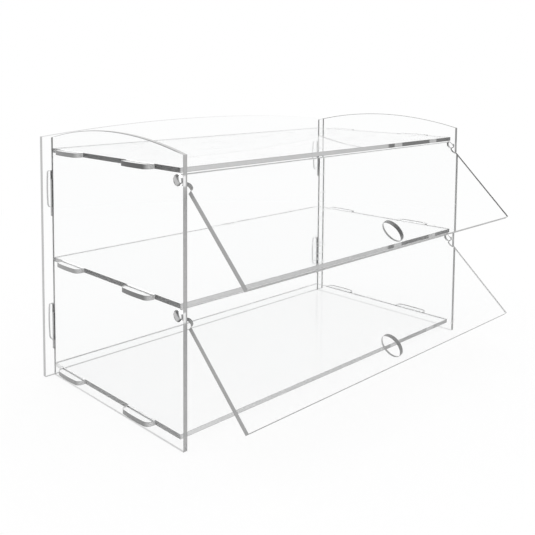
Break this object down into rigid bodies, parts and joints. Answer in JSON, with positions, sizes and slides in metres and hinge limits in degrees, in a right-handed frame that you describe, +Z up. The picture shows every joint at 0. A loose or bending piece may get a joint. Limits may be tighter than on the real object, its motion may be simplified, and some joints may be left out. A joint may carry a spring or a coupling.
{
  "type": "countertop bakery display case",
  "caption": "Clear acrylic countertop case with stacked compartments for bread and pastries, each behind a flap door that lifts at the front; its sheets slot together.",
  "frame": {"origin": "on the counter, at the bottom centre of the bounding box with both doors open as in the picture", "axes": "+X to the right along the width as seen from the front, +Y to the back, +Z up; the doors face -Y"},
  "size_m": [0.524, 0.3352, 0.3025],
  "materials": {
    "clear_acrylic": "polished faces, laser-cut edges"
  },
  "bodies": {
    "case": {"back_panel": "clear_acrylic", "left_side_panel": "clear_acrylic", "right_side_panel": "clear_acrylic", "bottom_shelf": "clear_acrylic", "middle_shelf": "clear_acrylic", "top_shelf": "clear_acrylic"},
    "upper_door": {"upper_door": "clear_acrylic"},
    "lower_door": {"lower_door": "clear_acrylic"}
  },
  "joints": [
    {"name": "upper_door_hinge", "type": "hinge", "parent": "case", "child": "upper_door", "pos_m": [0, -0.07844, 0.26301], "axis": [-1, 0, 0], "range_deg": [-41.9, 101]},
    {"name": "lower_door_hinge", "type": "hinge", "parent": "case", "child": "lower_door", "pos_m": [0, -0.07844, 0.13201], "axis": [-1, 0, 0], "range_deg": [-43.4, 58.5]}
  ]
}
